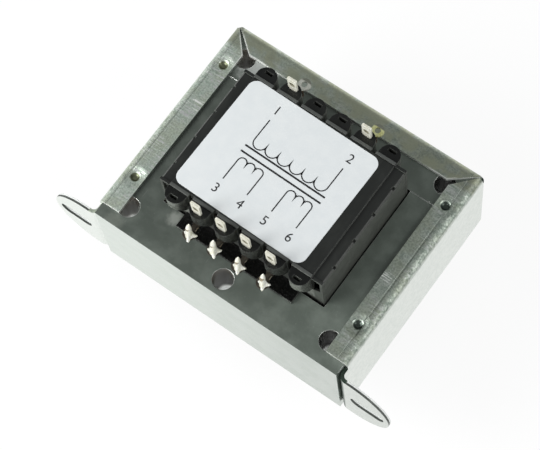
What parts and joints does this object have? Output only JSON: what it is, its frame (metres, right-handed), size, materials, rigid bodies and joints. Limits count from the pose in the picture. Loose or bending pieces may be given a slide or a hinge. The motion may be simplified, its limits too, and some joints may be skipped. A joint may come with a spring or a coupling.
{
  "type": "chassis mount transformer",
  "caption": "Mains transformer with a laminated core in a folded steel clamp frame, slotted feet to bolt down, a covered coil and rows of solder tags.",
  "frame": {"origin": "middle of the footprint, on the plane of the back coil cover's outer face", "axes": "+X along the line of the two feet, +Y from the mounting face towards the closed side of the frame, +Z out of the labelled face towards the tag tips"},
  "size_m": [0.1056, 0.0636, 0.0628],
  "materials": {
    "zinc_plated_steel": "zinc plated sheet, satin with handling scratches",
    "core_steel": "varnished electrical steel, dark grey",
    "moulded_black": "black moulded nylon, half gloss",
    "label_film": "white film sticker",
    "tinned_brass": "tinned",
    "tinned_copper": "tinned wire",
    "enamelled_copper": "enamelled copper wire",
    "insulating_tape": "dark polyester film tape"
  },
  "bodies": {
    "root": {"mounting_frame": "zinc_plated_steel", "e_laminations": "core_steel", "i_laminations": "core_steel", "bobbin": "moulded_black", "front_coil_cover": "moulded_black", "back_coil_cover": "moulded_black", "rating_label": "label_film", "primary_winding": "enamelled_copper", "secondary_winding": "enamelled_copper", "primary_tape": "insulating_tape", "secondary_tape": "insulating_tape", "primary_tag_1": "tinned_brass", "primary_lead_1": "enamelled_copper", "primary_tag_2": "tinned_brass", "primary_lead_2": "enamelled_copper", "secondary_tag_1": "tinned_brass", "secondary_lead_1": "tinned_copper", "secondary_tag_2": "tinned_brass", "secondary_lead_2": "tinned_copper", "secondary_tag_3": "tinned_brass", "secondary_lead_3": "tinned_copper", "secondary_tag_4": "tinned_brass", "secondary_lead_4": "tinned_copper"}
  },
  "joints": []
}
